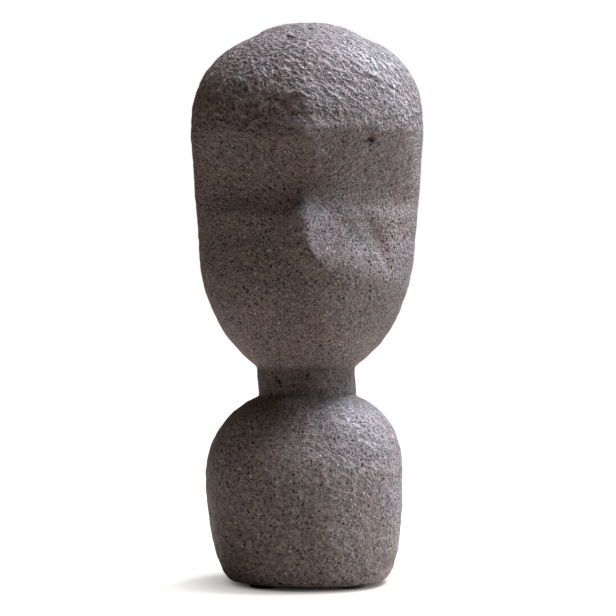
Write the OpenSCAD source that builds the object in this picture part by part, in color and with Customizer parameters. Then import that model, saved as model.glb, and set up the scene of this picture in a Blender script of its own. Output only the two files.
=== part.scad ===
// A carved volcanic-stone figure: a long head with an overhanging brow and a keeled face,
// a short neck and a rounded bust, all cut from one block. It stands on four self-adhesive
// felt pads. The face looks along -Y, +X is on the viewer's right, and Z = 0 is the surface
// that the pads stand on. Lengths are in millimetres and levels are measured along Z.

/* [Bust] */
// Width of the bust at its widest level
bust_w = 143; // [110:1:190]
// Depth of the bust, front to back
bust_d = 122; // [95:1:170]
// Height of the bust, from its flat underside to the crease under the neck
bust_h = 131; // [95:1:170]
// Height of the widest level above the underside
bust_level = 72; // [45:1:80]
// Squareness of the shoulder curve, where 2 is an ellipse
shoulder_square = 2.4; // [2:0.1:3.5]
// Width of the flat underside
base_w = 110; // [90:1:140]
// Depth of the flat underside
base_d = 94; // [80:1:120]
// How far the widest level of the bust stands off the brow's centre line, to the viewer's right
bust_shift = -2.5; // [-6:0.5:6]

/* [Neck] */
// Width of the neck
neck_w = 72; // [50:1:90]
// Depth of the neck, front to back
neck_d = 52; // [40:1:80]
// Height of the neck between the two creases
neck_h = 20; // [8:1:40]
// Radius that the chisel leaves in the creases above and below the neck
crease_r = 2; // [0.5:0.5:6]

/* [Head] */
// Width of the head across the brow
head_w = 169; // [140:1:220]
// Depth of the head at the brow, front to back
head_d = 145; // [120:1:200]
// Height of the head, from the crease over the neck to the crown
head_h = 247; // [210:1:320]
// Width of the head across the jaw
jaw_w = 157; // [130:1:190]
// Depth of the head across the jaw
jaw_d = 134; // [105:1:175]
// Height of the widest level of the jaw above the neck
jaw_level = 91; // [80:1:115]
// Squareness of the curve from the jaw to the chin, where 2 is an ellipse
jaw_square = 2; // [2:0.05:3]
// How far the chin stands off the brow's centre line, to the viewer's right
chin_shift = -1; // [-6:0.5:6]
// Height of the brow's edge above the neck
brow_level = 167; // [150:1:190]
// Squareness of the skull's curve, where 2 is an ellipse
skull_square = 2.45; // [2:0.05:3.5]
// How far the crown's cap stands above the curve of the skull
crown_rise = 6; // [0:0.5:15]
// Width of the crown's cap
crown_w = 90; // [70:1:125]
// Depth of the crown's cap
crown_d = 78; // [60:1:110]
// Height over which the crown's cap is curved
crown_h = 21; // [15:1:40]
// How far the crown stands off the brow's centre line, to the viewer's right
crown_shift = 0.5; // [-6:0.5:6]

/* [Face] */
// Height of the crease under the brow above the neck
crease_level = 124; // [118:1:145]
// How far the face is cut back at that crease
brow_depth = 12; // [4:0.5:18]
// How far the face is still cut back on the cheeks
cheek_depth = 6; // [0:0.5:10]
// Height above the neck at which the cheeks have swelled out to the jaw again
cheek_level = 42; // [25:1:90]
// How far the keel down the middle of the forehead stands out
keel_h = 2.5; // [0:0.5:8]
// Width of one side of the keel
keel_w = 20; // [8:1:30]
// How far the nose stands out of the face at its tip
nose_h = 9; // [4:0.5:20]
// Height of the nose's tip above the neck
nose_tip_level = 105; // [100:1:116]
// Height above the neck down to which the nose keeps its full height
nose_foot_level = 80; // [60:1:95]
// Height above the neck at which the nose has run out
nose_end_level = 52; // [20:1:58]
// Width of the nose's left side, which is cut steeply
nose_left_w = 22; // [12:1:40]
// Width of the nose's right side at its foot, where it runs out over the cheek
nose_right_w = 50; // [20:1:70]
// How far the keel and the nose's tip stand off the middle of the face, to the viewer's right
ridge_shift = -3; // [-8:0.5:8]
// How far the nose's ridge runs to the viewer's right between its tip and where it runs out
ridge_run = 40; // [0:1:60]
// How late the ridge bends away: at 1 it runs straight, and higher values keep it upright longer
ridge_bend = 2.5; // [1:0.1:4]

/* [Felt pads] */
// Diameter of each felt pad
pad_dia = 22; // [15:1:30]
// Thickness of the felt
felt_t = 1.8; // [1:0.2:5]
// Thickness of the adhesive film between the felt and the stone
film_t = 0.2; // [0.1:0.05:0.5]
// Rim of felt that the adhesive film leaves free all round
film_inset = 1; // [0.5:0.25:3]
// Clear stone between a pad and the edge of the flat underside
pad_inset = 4; // [2:0.5:10]

/* [Hidden] */
// Name of each pad's place, and its side and end: left -1 or right 1, front -1 or rear 1.
PLACES = [
    ["front_left", -1, -1], ["front_right", 1, -1], ["rear_left", -1, 1], ["rear_right", 1, 1]
];

// Levels along Z.
stone_z = felt_t + film_t;
bust_z = stone_z + bust_level;
shoulder_z = stone_z + bust_h;
chin_z = shoulder_z + neck_h;
jaw_z = chin_z + jaw_level;
crease_z = chin_z + crease_level;
brow_z = chin_z + brow_level;
crown_z = chin_z + head_h;
skull_z = crown_z - crown_rise;
nose_tip_z = chin_z + nose_tip_level;
nose_foot_z = chin_z + nose_foot_level;
nose_end_z = chin_z + nose_end_level;
cheek_z = chin_z + cheek_level;

// The keel stands out of the front only, so the stone's axis lies this far behind the middle
// of its depth, which is Y = 0.
axis_y = keel_h / 2;

// The shoulder and the jaw are superellipses that pass through the neck's edge exactly at the
// two creases, so their poles lie a little inside the neck.
shoulder_pole_z = bust_z + (bust_h - bust_level) / arc(neck_w / bust_w, shoulder_square);
jaw_pole_z = jaw_z - jaw_level / arc(neck_w / jaw_w, jaw_square);

// How square the horizontal sections are, where 2 is an ellipse and less is pointed.
bust_section = 2.3;
neck_section = 2.3;
face_section = 1.8;
nape_section = 2.25;
// The face's relief is full where the skin faces forward by more than the second value, as a
// sine, and gone where it faces forward by less than the first.
face_edge = [0.05, 0.6];
// Width of the nose's right side at the crease, as a share of its left side.
nose_top_share = 0.25;
// Radius of the fillet between the crown's cap and the skull.
cap_r = 2 * crease_r;

// The front of the figure is divided more finely than its back.
front_cols = 44;
back_cols = 20;
// Rings of points in each stretch from the foot up: to the widest level of the bust, the
// shoulder, the neck, the jaw, the crease under the brow, the brow's edge and the crown.
foot_rings = 10;
shoulder_rings = 12;
neck_rings = 5;
jaw_rings = 14;
cheek_rings = 12;
brow_rings = 10;
skull_rings = 26;
// Plain colours of the stone, the felt and the film.
stone_colour = [0.43, 0.40, 0.385];
felt_colour = [0.16, 0.16, 0.17];
film_colour = [0.85, 0.83, 0.78];
// Facets round a pad and its film.
pad_facets = 64;

// Height of a superellipse of exponent p over the point u of its half width, both as shares.
function arc(u, p) = pow(1 - pow(min(1, abs(u)), p), 1 / p);
// 0 before a, 1 after b and a smooth step between them.
function step(a, b, v) = let (t = max(0, min(1, (v - a) / (b - a)))) t * t * (3 - 2 * t);
// 0 before a, 1 after b and a straight ramp between them.
function ramp(a, b, v) = max(0, min(1, (v - a) / (b - a)));
function mix(a, b, t) = a + (b - a) * t;
// The larger of two radii, with a fillet where they are nearly equal.
function blend(a, b, r) = let (
    k = min(r, max(a, b) / 2),
    h = k > 0 ? max(0, k - abs(a - b)) / k : 0
) max(a, b) + h * h * k / 4;
// Distance from the centre to the edge of a section a wide and b deep on each side.
function section(a, b, p, q) =
    a <= 0 || b <= 0 ? 0 : pow(pow(abs(cos(q)) / a, p) + pow(abs(sin(q)) / b, p), -1 / p);
// 1 on the face, 0 at the sides and the back.
function facing(q) = step(face_edge[0], face_edge[1], -sin(q));

// Share of the bust's full size at level z, between its underside and the shoulder's pole.
function bust_half(full, base, z) = z <= bust_z
    ? mix(base, full, sqrt(1 - pow(1 - ramp(stone_z, bust_z, z), 2))) / 2
    : full / 2 * arc(ramp(bust_z, shoulder_pole_z, z), shoulder_square);
// Half the head's size at level z, without the crown's cap.
function head_half(jaw, brow, z) =
    z < jaw_z ? jaw / 2 * arc(ramp(jaw_z, jaw_pole_z, z), jaw_square)
    : z < brow_z ? mix(jaw, brow, ramp(jaw_z, brow_z, z)) / 2
    : brow / 2 * arc(ramp(brow_z, skull_z, z), skull_square);
function crown_half(full, z) =
    z < crown_z - crown_h ? 0 : full / 2 * arc(ramp(crown_z - crown_h, crown_z, z), 2);

function bust_radius(q, z) = z >= shoulder_pole_z ? 0
    : section(bust_half(bust_w, base_w, z), bust_half(bust_d, base_d, z), bust_section, q);
function neck_radius(q, z) = z < bust_z || z > jaw_z ? 0
    : section(neck_w / 2, neck_d / 2, neck_section, q);
function head_radius(q, z) = z <= jaw_pole_z ? 0 : blend(
    section(head_half(jaw_w, head_w, z), head_half(jaw_d, head_d, z),
        sin(q) < 0 ? face_section : nape_section, q),
    section(crown_half(crown_w, z), crown_half(crown_d, z), 2, q), cap_r);

// The brow overhangs: from its edge the face is cut back to the crease, and swells out again
// over the cheeks.
function brow_cut(z) = z >= crease_z
    ? brow_depth * ramp(brow_z, crease_z, z)
    : mix(mix(brow_depth, cheek_depth, step(crease_z, nose_tip_z, z)), 0,
        step(nose_tip_z, cheek_z, z));
// Place of the ridge along X: straight up the keel, and bending to the viewer's right below the
// nose's tip.
function ridge_x(z) = ridge_shift + ridge_run * pow(ramp(nose_tip_z, nose_end_z, z), ridge_bend);
// How far a column of the front is turned so that the middle one follows the ridge down to where
// the nose ends. Below that the columns turn back.
function ridge_turn(q, z) = sin(q) < 0
    ? -sin(q) * atan(ridge_x(z) / (head_d / 2)) * step(chin_z, nose_end_z, z) : 0;
// The keel runs up the forehead and fades out over the skull. Here and in the nose, x is
// measured from the ridge.
function keel(x, z) = keel_h * step(crease_z, brow_z, z) * (1 - step(brow_z, skull_z, z))
    * max(0, 1 - abs(x) / keel_w);
// The nose is a wedge: its ridge rises out of the crease to the tip, runs down to the foot and
// dies away below it, and its right side widens downwards over the cheek.
function nose(x, z) = let (
    ridge = z > nose_tip_z ? ramp(crease_z, nose_tip_z, z) : step(nose_end_z, nose_foot_z, z),
    right_w = mix(nose_left_w * nose_top_share, nose_right_w, ramp(crease_z, nose_foot_z, z))
) nose_h * ridge * max(0, 1 - (x < 0 ? -x / nose_left_w : x / right_w));

// How far the centre of a section stands off the line through the brow, along X.
function sway(z) = bust_shift * step(stone_z, bust_z, z) * (1 - step(bust_z, shoulder_z, z))
    + chin_shift * step(shoulder_z, chin_z, z) * (1 - step(chin_z, brow_z, z))
    + crown_shift * step(brow_z, crown_z, z);

// A point of the stone's skin in the direction q at level z.
function skin(q, z) = let (
    plain = blend(blend(bust_radius(q, z), neck_radius(q, z), crease_r), head_radius(q, z),
        crease_r),
    x = plain * cos(q) - ridge_x(z),
    r = plain + facing(q) * (keel(x, z) + nose(x, z) - brow_cut(z) * step(chin_z, cheek_z, z))
) [r * cos(q) + sway(z), r * sin(q) + axis_y, z];

// Directions of the columns of points, from the viewer's right round the back and the face.
column_q = [
    for (i = [0:back_cols - 1]) 180 * i / back_cols,
    for (i = [0:front_cols - 1]) 180 + 180 * i / front_cols
];
cols = len(column_q);

// Levels of the rings of points: close together on the tight curves and on the face.
ring_z = [
    for (i = [0:foot_rings - 1]) stone_z + bust_level * (1 - cos(90 * i / foot_rings)),
    for (i = [0:shoulder_rings - 1])
        bust_z + (bust_h - bust_level) * sin(90 * i / shoulder_rings),
    for (i = [0:neck_rings - 1]) shoulder_z + neck_h * i / neck_rings,
    for (i = [0:jaw_rings - 1]) jaw_z - jaw_level * cos(90 * i / jaw_rings),
    for (i = [0:cheek_rings - 1]) mix(jaw_z, crease_z, i / cheek_rings),
    for (i = [0:brow_rings - 1]) mix(crease_z, brow_z, i / brow_rings),
    for (i = [0:skull_rings - 1])
        brow_z + (crown_z - brow_z) * sin(90 * i / skull_rings)
];
rings = len(ring_z);

module carved_stone() {
    foot = rings * cols;
    crown = foot + 1;
    function at(i, j) = i * cols + (j + cols) % cols;
    color(stone_colour) polyhedron(
        points = [
            for (z = ring_z, q = column_q) skin(q + ridge_turn(q, z), z),
            [0, axis_y, stone_z],
            [crown_shift, axis_y, crown_z]
        ],
        faces = [
            for (j = [0:cols - 1]) [foot, at(0, j), at(0, j + 1)],
            for (i = [0:rings - 2], j = [0:cols - 1]) each [
                [at(i, j), at(i + 1, j), at(i + 1, j + 1)],
                [at(i, j), at(i + 1, j + 1), at(i, j + 1)]
            ],
            for (j = [0:cols - 1]) [at(rings - 1, j), crown, at(rings - 1, j + 1)]
        ]
    );
}

// Centre of a pad: on the diagonal of the flat underside, as far out as pad_inset allows.
function pad_centre(place) = let (
    reach = pad_inset + pad_dia / 2,
    diagonal = pow(0.5, 1 / bust_section)
) [place[1] * (base_w / 2 - reach) * diagonal, axis_y + place[2] * (base_d / 2 - reach) * diagonal];

module felt_pad(place) {
    color(felt_colour) translate(pad_centre(place))
        cylinder(d = pad_dia, h = felt_t, $fn = pad_facets);
}

module adhesive_film(place) {
    color(film_colour) translate([each pad_centre(place), felt_t])
        cylinder(d = pad_dia - 2 * film_inset, h = film_t, $fn = pad_facets);
}

carved_stone();
for (place = PLACES) {
    felt_pad(place);
    adhesive_film(place);
}
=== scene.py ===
"""Visual model of a carved volcanic-stone figure that stands on four felt pads.

The block is one closed skin, worked out as a radius over direction and level and then cut back by
the mason's tools. Each pad is a turned disc with an uneven rim. The adhesive films are the frame's
own solids. All lengths are in metres, in the frame's axes: the face looks along -Y.
"""

from __future__ import annotations

import logging
import math
from dataclasses import dataclass, field
from enum import Enum
from functools import reduce
from typing import Any

import bpy
import numpy as np
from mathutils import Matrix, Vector


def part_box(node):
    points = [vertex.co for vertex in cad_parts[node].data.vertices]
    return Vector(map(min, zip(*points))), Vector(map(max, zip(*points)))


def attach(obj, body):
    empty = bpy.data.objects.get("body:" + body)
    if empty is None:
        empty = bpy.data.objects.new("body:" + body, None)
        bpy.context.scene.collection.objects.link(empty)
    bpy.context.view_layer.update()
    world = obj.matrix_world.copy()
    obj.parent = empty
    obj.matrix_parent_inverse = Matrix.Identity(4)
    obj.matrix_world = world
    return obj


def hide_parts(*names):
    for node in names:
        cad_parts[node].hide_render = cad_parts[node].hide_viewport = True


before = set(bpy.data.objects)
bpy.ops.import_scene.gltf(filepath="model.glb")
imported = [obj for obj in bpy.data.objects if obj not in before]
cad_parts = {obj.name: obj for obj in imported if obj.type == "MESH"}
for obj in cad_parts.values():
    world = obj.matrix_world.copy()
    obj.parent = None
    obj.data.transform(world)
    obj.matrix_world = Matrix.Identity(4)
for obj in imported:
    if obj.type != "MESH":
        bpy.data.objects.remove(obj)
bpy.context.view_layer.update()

log = logging.getLogger("stone_figure")

MM = 0.001
BODY = "root"
BAKE_MAP = "OFBake"

Array = np.ndarray
Socket = Any


class Slot(Enum):
    """The record's material slots for the pieces that are modelled here."""

    STONE = "stone"
    FELT = "felt"


class Place(Enum):
    """Where each pad and its film sit under the figure."""

    FRONT_LEFT = "front_left"
    FRONT_RIGHT = "front_right"
    REAR_LEFT = "rear_left"
    REAR_RIGHT = "rear_right"


# --------------------------------------------------------------------------------------------
# Numbers: ramps, profiles and seeded noise, all for whole arrays
# --------------------------------------------------------------------------------------------


def ramp(low: float | Array, high: float | Array, value: Array) -> Array:
    """Gives 0 at low, 1 at high and a straight line between them.

    Args:
        low: Value at which the ramp starts.
        high: Value at which it ends, above or below low.
        value: Values to look up.

    Returns:
        Shares from 0 to 1.
    """
    return np.clip((value - low) / (high - low), 0.0, 1.0)


def ease(low: float | Array, high: float | Array, value: Array) -> Array:
    """Gives 0 at low and 1 at high with the cubic t * t * (3 - 2 t) between them.

    Args:
        low: Value at which the step starts.
        high: Value at which it ends.
        value: Values to look up.

    Returns:
        Shares from 0 to 1.
    """
    t = ramp(low, high, value)
    return t * t * (3.0 - 2.0 * t)


def mix(first: Array | float, second: Array | float, share: Array) -> Array:
    """Goes from first to second as share goes from 0 to 1."""
    return first + (second - first) * share


def arc(share: Array, power: float) -> Array:
    """Height of a superellipse over a share of its half width: (1 - u^p)^(1/p)."""
    return (1.0 - np.minimum(1.0, np.abs(share)) ** power) ** (1.0 / power)


def fillet(first: Array, second: Array, radius: float) -> Array:
    """Takes the larger of two radii, rounding the corner where they are nearly equal.

    Args:
        first: One set of radii.
        second: The other set.
        radius: Size of the rounding.

    Returns:
        max(a, b) + h^2 k / 4, where h falls from 1 to 0 as the two part by k.
    """
    k = np.maximum(np.minimum(radius, np.maximum(first, second) / 2.0), 1e-9)
    h = np.maximum(0.0, k - np.abs(first - second)) / k
    return np.maximum(first, second) + h * h * k / 4.0


def section(half_width: Array, half_depth: Array, power: Array | float, turn: Array) -> Array:
    """Radius of a superellipse in the direction turn.

    Args:
        half_width: Half size along X.
        half_depth: Half size along Y.
        power: Its exponent, 2 for an ellipse.
        turn: Directions in radians, from +X towards +Y.

    Returns:
        (|cos/a|^p + |sin/b|^p)^(-1/p), and 0 where the section has no size.
    """
    a = np.maximum(half_width, 1e-6)
    b = np.maximum(half_depth, 1e-6)
    total = (np.abs(np.cos(turn)) / a) ** power + (np.abs(np.sin(turn)) / b) ** power
    return np.where((half_width > 0) & (half_depth > 0), total ** (-1.0 / power), 0.0)


class Lattice:
    """Seeded noise on an integer lattice."""

    _PRIMES = (0x8DA6B343, 0xD8163841, 0xCB1AB31F, 0x165667B1, 0x27D4EB2F)

    def __init__(self, seed: int) -> None:
        """Keeps the seed that every draw depends on."""
        self.seed = seed

    def draw(self, cell: Array, channel: int) -> Array:
        """Gives each lattice cell a fixed number from 0 to 1.

        Args:
            cell: Integer cells, shape (n, 3).
            channel: Which of the cell's numbers to give.

        Returns:
            The cells' coordinates multiplied by large odd numbers, folded together with the
            seed, and stirred by shifts and products.
        """
        c = cell.astype(np.int64).astype(np.uint32)
        salt = (self.seed * self._PRIMES[3] + channel * self._PRIMES[4]) & 0xFFFFFFFF
        h = np.full(len(c), salt, np.uint32)
        for axis in range(3):
            h ^= c[:, axis] * np.uint32(self._PRIMES[axis])
        h ^= h >> np.uint32(15)
        h *= np.uint32(0x2C1B3C6D)
        h ^= h >> np.uint32(12)
        h *= np.uint32(0x297A2D39)
        h ^= h >> np.uint32(15)
        return h / 2.0**32

    def smooth(self, points: Array, size: float) -> Array:
        """Gradient noise, from about -1 to 1, whose bumps are about size across.

        Args:
            points: Places, shape (n, 3).
            size: Distance between lattice points.

        Returns:
            At each corner of a point's cell, the dot product of a fixed random slope with the
            way to the point, all eight blended by the quintic 6t^5 - 15t^4 + 10t^3.
        """
        q = points / size
        base = np.floor(q)
        part = q - base
        weight = part**3 * (part * (part * 6.0 - 15.0) + 10.0)
        total = np.zeros(len(points))
        for corner in np.ndindex(2, 2, 2):
            step = np.array(corner)
            cell = base + step
            slope = np.stack([self.draw(cell, k) for k in range(3)], axis=1) * 2.0 - 1.0
            share = np.prod(np.where(step == 1, weight, 1.0 - weight), axis=1)
            total += share * ((part - step) * slope).sum(axis=1)
        return total * 1.4

    def rough(self, points: Array, size: float, octaves: int) -> Array:
        """Smooth noise with finer noise on it.

        Args:
            points: Places, shape (n, 3).
            size: Distance between lattice points in the first octave.
            octaves: How many octaves there are.

        Returns:
            Octaves of smooth noise added up, each half the size and half the height of the one
            before and read from a shifted place.
        """
        total = np.zeros(len(points))
        for octave in range(octaves):
            shift = 17.31 * size * (octave + 1)
            total += 0.5**octave * self.smooth(points + shift, size * 0.5**octave)
        return total

    def cells(self, points: Array, size: float) -> Array:
        """Distance to the nearest of the jittered centres, one in each cell of that size.

        Args:
            points: Places, shape (n, 3).
            size: Size of a cell.

        Returns:
            Distances as shares of size: 0 at a centre and about 1 between centres.
        """
        q = points / size
        base = np.floor(q)
        nearest = np.full(len(points), 9.0)
        for corner in np.ndindex(3, 3, 3):
            cell = base + np.array(corner) - 1.0
            centre = cell + np.stack([self.draw(cell, k) for k in range(3)], axis=1)
            nearest = np.minimum(nearest, ((q - centre) ** 2).sum(axis=1))
        return np.sqrt(nearest)


# --------------------------------------------------------------------------------------------
# Meshes
# --------------------------------------------------------------------------------------------


def grid_normals(grid: Array) -> Array:
    """Outward normals of a grid of rings, closed round its columns.

    Args:
        grid: Points, shape (rings, columns, 3), rings from the bottom up and columns
            anticlockwise as seen from above.

    Returns:
        The cross product of the step along the columns with the step along the rings, each
        taken as a central difference, made one long.
    """
    round_step = np.roll(grid, -1, axis=1) - np.roll(grid, 1, axis=1)
    up_step = np.gradient(grid, axis=0)
    normal = np.cross(round_step, up_step)
    return normal / np.maximum(np.linalg.norm(normal, axis=2, keepdims=True), 1e-12)


def way_up(foot: Array, column: Array, crown: Array) -> Array:
    """Shares of the way up along one column, for the lower pole, each ring and the upper pole."""
    way = np.linalg.norm(np.diff(np.vstack([foot[None], column, crown[None]]), axis=0), axis=1)
    return np.concatenate([[0.0], np.cumsum(way)]) / way.sum()


def skin_mesh(
    name: str, grid: Array, foot: Array, crown: Array, height: Array
) -> bpy.types.Object:
    """Makes a closed skin from a grid of rings and one pole at each end.

    Quads join neighbouring rings and fans join the end rings to the poles. The UV map runs once
    round the columns in u, and in v it goes by the share of the way up the skin.

    Args:
        name: Name of the piece.
        grid: Points, shape (rings, columns, 3), as for grid_normals.
        foot: The lower pole.
        crown: The upper pole.
        height: The shares of the way up, as from way_up.

    Returns:
        The new object, at the origin, smooth shaded.
    """
    rings, cols = grid.shape[:2]
    points = np.vstack([grid.reshape(-1, 3), foot, crown])
    index = np.arange(rings * cols).reshape(rings, cols)
    after = np.roll(index, -1, axis=1)
    quads = np.stack([index[:-1], after[:-1], after[1:], index[1:]], axis=2).reshape(-1, 4)
    low = np.stack([np.full(cols, rings * cols), after[0], index[0]], axis=1)
    high = np.stack([np.full(cols, rings * cols + 1), index[-1], after[-1]], axis=1)

    mesh = bpy.data.meshes.new(name)
    mesh.from_pydata(points.tolist(), [], quads.tolist() + low.tolist() + high.tolist())
    u0 = np.arange(cols) / cols
    u1 = u0 + 1.0 / cols
    v = height[1:-1]
    quad_uv = np.empty((rings - 1, cols, 4, 2))
    quad_uv[..., 0] = np.stack([u0, u1, u1, u0], axis=1)[None]
    quad_uv[..., 1] = np.stack([v[:-1], v[:-1], v[1:], v[1:]], axis=1)[:, None]
    uv = [quad_uv.reshape(-1, 2)]
    for pole, ring, first, second in ((height[0], v[0], u1, u0), (height[-1], v[-1], u0, u1)):
        fan_u = np.stack([(u0 + u1) / 2, first, second], axis=1)
        uv.append(np.stack([fan_u, np.tile([pole, ring, ring], (cols, 1))], axis=2).reshape(-1, 2))
    layer = mesh.uv_layers.new(name=BAKE_MAP)
    layer.data.foreach_set("uv", np.concatenate(uv).astype(np.float32).ravel())
    mesh.polygons.foreach_set("use_smooth", np.ones(len(mesh.polygons), dtype=bool))
    mesh.update()
    piece = bpy.data.objects.new(name, mesh)
    bpy.context.scene.collection.objects.link(piece)
    return piece


def point_value(
    piece: bpy.types.Object, name: str, values: Array, poles: tuple[float, float]
) -> None:
    """Stores one number for each point of a skin, for its material to read.

    Args:
        piece: The piece.
        name: Name of the attribute.
        values: Numbers for the grid's points.
        poles: Numbers for the lower and the upper pole.
    """
    attribute = piece.data.attributes.new(name=name, type="FLOAT", domain="POINT")
    attribute.data.foreach_set("value", np.append(values, poles).astype(np.float32))


# --------------------------------------------------------------------------------------------
# Shader graphs
# --------------------------------------------------------------------------------------------


class Graph:
    """Adds and links the nodes of one tree."""

    def __init__(self, tree: bpy.types.NodeTree) -> None:
        """Starts on a tree, which may already hold nodes."""
        self.tree = tree

    def node(self, kind: str, **settings: Any) -> bpy.types.Node:
        """Adds a node and sets its own properties.

        Args:
            kind: Blender's type name, such as ShaderNodeMath.
            **settings: Properties of the node.

        Returns:
            The node.
        """
        node = self.tree.nodes.new(kind)
        for key, value in settings.items():
            setattr(node, key, value)
        return node

    def feed(self, node: bpy.types.Node, values: dict[Any, Any]) -> bpy.types.Node:
        """Feeds some of a node's inputs.

        Args:
            node: The node.
            values: For an input's name or number, the socket to link to it or its constant.

        Returns:
            The node.
        """
        for key, value in values.items():
            if isinstance(value, bpy.types.NodeSocket):
                self.tree.links.new(value, node.inputs[key])
            else:
                node.inputs[key].default_value = value
        return node

    def math(self, operation: str, *values: Any) -> Socket:
        """Adds a Math node, such as DIVIDE, on sockets or numbers and gives its output."""
        node = self.node("ShaderNodeMath", operation=operation)
        return self.feed(node, dict(enumerate(values))).outputs[0]

    def times(self, *values: Any) -> Socket:
        """Multiplies two or more values."""
        return reduce(lambda total, value: self.math("MULTIPLY", total, value), values)

    def plus(self, *values: Any) -> Socket:
        """Adds two or more values."""
        return reduce(lambda total, value: self.math("ADD", total, value), values)

    def vector_math(self, operation: str, *values: Any, output: str = "Vector") -> Socket:
        """Adds a Vector Math node and gives one of its outputs."""
        node = self.node("ShaderNodeVectorMath", operation=operation)
        return self.feed(node, dict(enumerate(values))).outputs[output]

    def scale(self, vector: Any, factor: Any) -> Socket:
        """Multiplies a vector or a colour by a number."""
        node = self.node("ShaderNodeVectorMath", operation="SCALE")
        return self.feed(node, {0: vector, "Scale": factor}).outputs["Vector"]

    def parts(self, vector: Any) -> Any:
        """Splits a vector into x, y and z, or a colour into its three channels."""
        return self.feed(self.node("ShaderNodeSeparateXYZ"), {0: vector}).outputs

    def span(
        self, value: Any, low: Any, high: Any, to_low: float = 0.0, to_high: float = 1.0
    ) -> Socket:
        """Maps low..high onto to_low..to_high with soft ends.

        Args:
            value: Value to map.
            low: Start of the span, which may be above high.
            high: End of the span.
            to_low: Result at low and beyond.
            to_high: Result at high and beyond.

        Returns:
            The mapped value.
        """
        node = self.node("ShaderNodeMapRange", interpolation_type="SMOOTHSTEP")
        ends = {"From Min": low, "From Max": high, "To Min": to_low, "To Max": to_high}
        return self.feed(node, {"Value": value, **ends}).outputs["Result"]

    def noise(
        self, vector: Any, scale: Any, detail: float = 2.0, roughness: float = 0.5
    ) -> tuple[Socket, Socket]:
        """Adds a Noise Texture.

        Args:
            vector: Where it is read.
            scale: Bumps in each metre.
            detail: Octaves after the first.
            roughness: How strong each octave is beside the one before.

        Returns:
            Its value and its colour.
        """
        node = self.feed(
            self.node("ShaderNodeTexNoise"),
            {"Vector": vector, "Scale": scale, "Detail": detail, "Roughness": roughness},
        )
        return node.outputs["Fac"], node.outputs["Color"]

    def cells(self, vector: Any, scale: Any) -> tuple[Socket, Socket]:
        """Adds a Voronoi Texture.

        Args:
            vector: Where it is read.
            scale: Cells in each metre.

        Returns:
            The distance to the nearest centre, in cells, and that cell's random colour.
        """
        node = self.feed(self.node("ShaderNodeTexVoronoi"), {"Vector": vector, "Scale": scale})
        return node.outputs["Distance"], node.outputs["Color"]

    def blend(self, share: Any, first: Any, second: Any) -> Socket:
        """Goes from the first colour to the second as share goes from 0 to 1."""
        node = self.node("ShaderNodeMix", data_type="RGBA", blend_type="MIX")
        return self.feed(node, {0: share, 6: first, 7: second}).outputs[2]

    def tint(self, colour: Any, mask: Any, tint: Tint) -> Socket:
        """Lays a tint over a colour, as far as the mask and the tint's share say."""
        return self.blend(self.times(mask, tint.share), colour, (*tint.tone, 1.0))


class MaterialGraph(Graph):
    """The graph of one new material, with its surface shader and its Object coordinates."""

    def __init__(self, name: str) -> None:
        """Makes the material.

        Args:
            name: Its name.
        """
        self.material = bpy.data.materials.new(name)
        self.material.use_nodes = True
        super().__init__(self.material.node_tree)
        self.shader = self.tree.nodes["Principled BSDF"]
        self.place = self.node("ShaderNodeTexCoord").outputs["Object"]

    def attribute(self, name: str) -> Socket:
        """Reads one of the piece's own numbers at each point."""
        return self.node("ShaderNodeAttribute", attribute_name=name).outputs["Fac"]

    def surface(self, height: Socket, **values: Any) -> bpy.types.Material:
        """Finishes the material.

        Args:
            height: Height of its fine relief, in metres.
            **values: Sockets or constants for the shader, with underscores for spaces.

        Returns:
            The material.
        """
        bump = self.feed(
            self.node("ShaderNodeBump"), {"Strength": 1.0, "Distance": 1.0, "Height": height}
        )
        self.feed(self.shader, {key.replace("_", " "): value for key, value in values.items()})
        self.feed(self.shader, {"Normal": bump.outputs["Normal"]})
        return self.material


class GroupMaker:
    """Builds a shader node group once and places it in as many materials as need it."""

    name: str = ""
    inputs: tuple[tuple[str, str, Any], ...] = ()
    outputs: tuple[tuple[str, str], ...] = ()

    def tree(self) -> bpy.types.NodeTree:
        """The group's tree, built the first time it is asked for.

        Returns:
            The node group.
        """
        ready = bpy.data.node_groups.get(self.name)
        if ready is not None:
            return ready
        tree = bpy.data.node_groups.new(self.name, "ShaderNodeTree")
        for label, kind, value in self.inputs:
            socket = tree.interface.new_socket(name=label, in_out="INPUT", socket_type=kind)
            if value is not None:
                socket.default_value = value
        for label, kind in self.outputs:
            tree.interface.new_socket(name=label, in_out="OUTPUT", socket_type=kind)
        graph = Graph(tree)
        source = graph.node("NodeGroupInput").outputs
        graph.feed(graph.node("NodeGroupOutput"), self.build(graph, source))
        return tree

    def build(self, graph: Graph, source: Any) -> dict[str, Socket]:
        """Adds the group's nodes.

        Args:
            graph: The group's graph.
            source: The group's inputs.

        Returns:
            The socket for each output.
        """
        raise NotImplementedError

    def place(self, graph: Graph, **values: Any) -> Any:
        """Places the group in a material.

        Args:
            graph: The material's graph.
            **values: Sockets or constants for its inputs, with underscores for spaces.

        Returns:
            The placed group's outputs.
        """
        node = graph.node("ShaderNodeGroup", node_tree=self.tree())
        inputs = {key.replace("_", " "): value for key, value in values.items()}
        return graph.feed(node, inputs).outputs


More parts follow.
